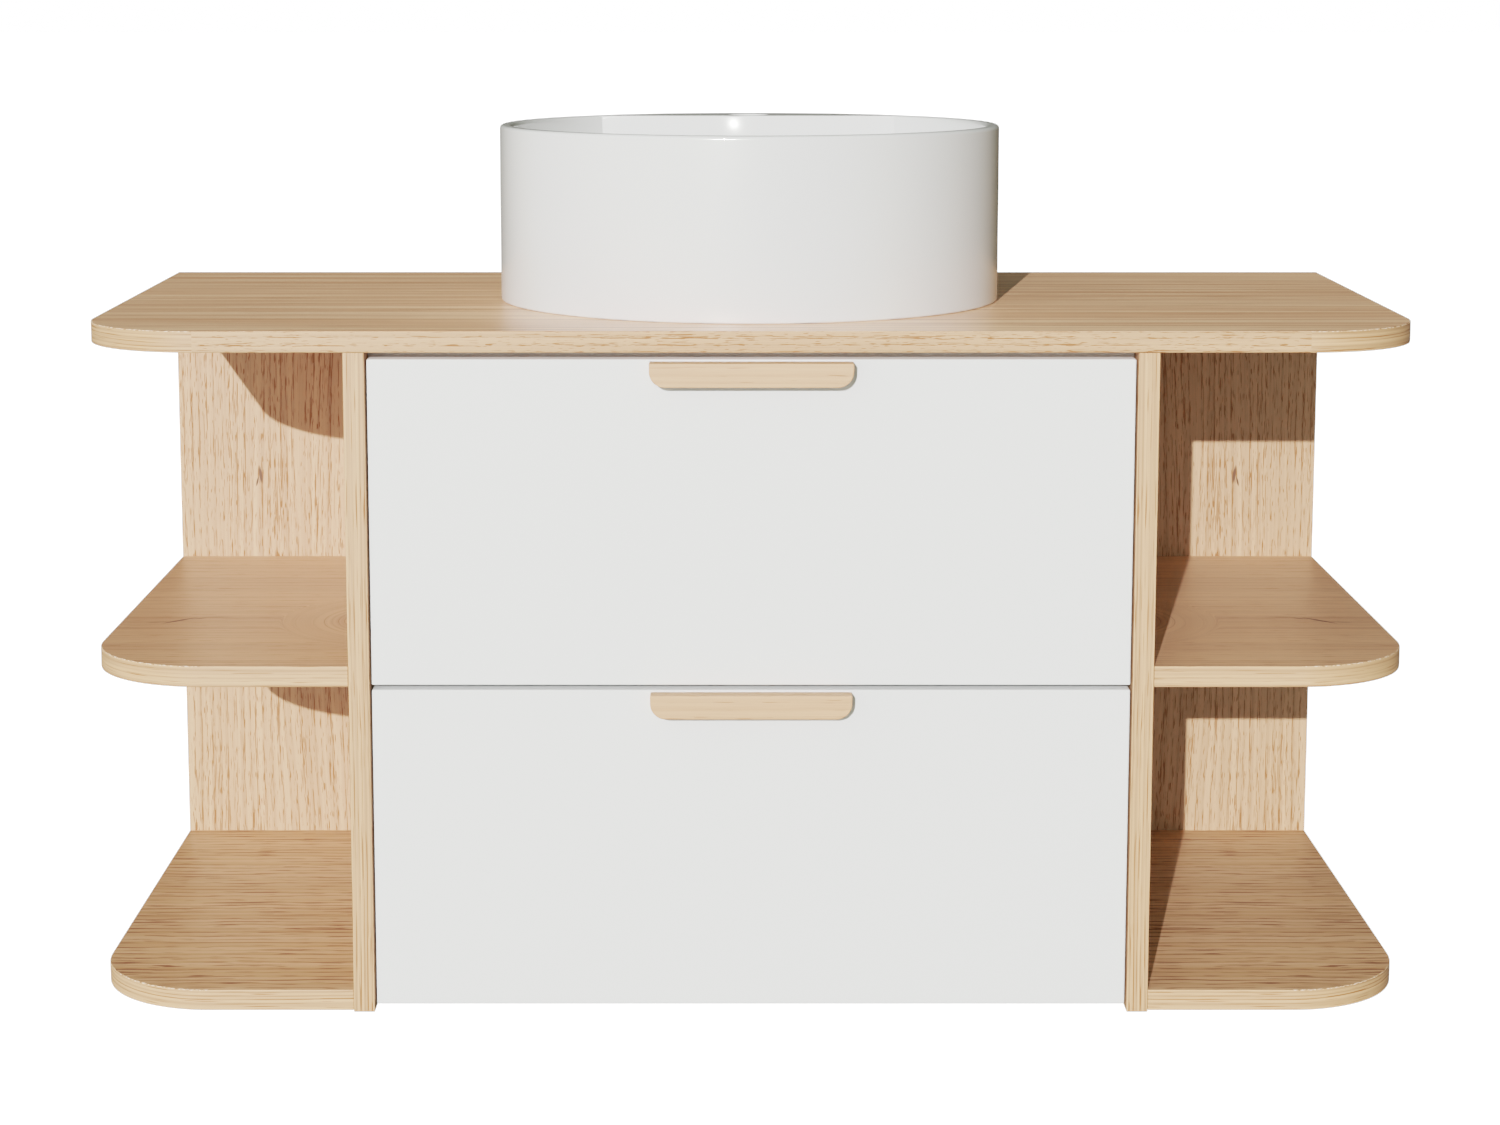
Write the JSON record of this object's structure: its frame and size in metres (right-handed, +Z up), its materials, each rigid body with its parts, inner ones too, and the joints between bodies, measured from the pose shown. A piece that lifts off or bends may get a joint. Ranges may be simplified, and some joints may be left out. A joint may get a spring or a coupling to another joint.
{
  "type": "vanity unit with vessel sink",
  "caption": "Wall-hung oak-veneer vanity with open rounded end shelves, inset white drawers and a round white vessel sink with a rear tap deck.",
  "frame": {"origin": "centre of the four wall screw holes, on the wall plane", "axes": "+X to the right as seen from the front, +Y towards the wall, +Z up"},
  "size_m": [1, 0.472, 0.658],
  "materials": {
    "oak_across": "satin",
    "oak_upright": "satin",
    "oak_handle": "satin",
    "front_lacquer": "matt",
    "white_board": "satin",
    "drawer_board": "satin",
    "glaze": "gloss",
    "rubber": "matt",
    "dowel_wood": "matt",
    "hanger_plastic": "satin",
    "galvanised_steel": "satin",
    "screw_steel": "satin",
    "chrome": "polished"
  },
  "bodies": {
    "cabinet": {"worktop": "oak_across", "upright_left": "oak_upright", "upright_right": "oak_upright", "back_panel_left": "oak_upright", "back_panel_right": "oak_upright", "mid_shelf_left": "oak_across", "mid_shelf_right": "oak_across", "bottom_shelf_left": "oak_across", "bottom_shelf_right": "oak_across", "cabinet_floor": "white_board", "front_rail": "white_board", "back_rail_top": "white_board", "back_rail_bottom": "white_board", "shelf_dowels_left": "dowel_wood", "shelf_dowels_right": "dowel_wood", "worktop_brackets": "galvanised_steel", "hanger_left": "hanger_plastic", "hanger_right": "hanger_plastic", "wall_plates": "galvanised_steel", "cabinet_rails_top": "galvanised_steel", "cabinet_rails_bottom": "galvanised_steel", "basin": "glaze", "basin_seal": "rubber", "waste_body": "chrome", "waste_washer": "rubber", "waste_backnut": "chrome", "trap_nut": "chrome", "trap_dip_tube": "chrome", "trap_bottle": "chrome", "trap_outlet_nut": "chrome", "trap_outlet": "chrome", "wall_rosette": "chrome"},
    "top_drawer": {"top_front": "front_lacquer", "top_handle": "oak_handle", "top_handle_screws": "screw_steel", "top_box_sides": "drawer_board", "top_box_inner_front": "drawer_board", "top_box_backs": "drawer_board", "top_box_floor": "drawer_board", "top_recess_sides": "drawer_board", "top_recess_end": "drawer_board", "top_drawer_rails": "galvanised_steel"},
    "bottom_drawer": {"bottom_front": "front_lacquer", "bottom_handle": "oak_handle", "bottom_handle_screws": "screw_steel", "bottom_box_sides": "drawer_board", "bottom_box_inner_front": "drawer_board", "bottom_box_back": "drawer_board", "bottom_box_floor": "drawer_board", "bottom_drawer_rails": "galvanised_steel"},
    "top_slide_middles": {"middle_rails_top": "galvanised_steel"},
    "bottom_slide_middles": {"middle_rails_bottom": "galvanised_steel"},
    "plug": {"waste_plug": "chrome"}
  },
  "joints": [
    {"name": "top_drawer_slide", "type": "slide", "parent": "cabinet", "child": "top_drawer", "axis": [0, -1, 0], "range_m": [0, 0.38]},
    {"name": "bottom_drawer_slide", "type": "slide", "parent": "cabinet", "child": "bottom_drawer", "axis": [0, -1, 0], "range_m": [0, 0.38]},
    {"name": "top_middle_slide", "type": "slide", "parent": "cabinet", "child": "top_slide_middles", "axis": [0, -1, 0], "range_m": [0, 0.19]},
    {"name": "bottom_middle_slide", "type": "slide", "parent": "cabinet", "child": "bottom_slide_middles", "axis": [0, -1, 0], "range_m": [0, 0.19]},
    {"name": "waste_plug_lift", "type": "slide", "parent": "cabinet", "child": "plug", "axis": [0, 0, 1], "range_m": [0, 0.008]}
  ],
  "couplings": [
    {"joint": "top_middle_slide", "follows": "top_drawer_slide", "ratio": 0.5},
    {"joint": "bottom_middle_slide", "follows": "bottom_drawer_slide", "ratio": 0.5}
  ]
}
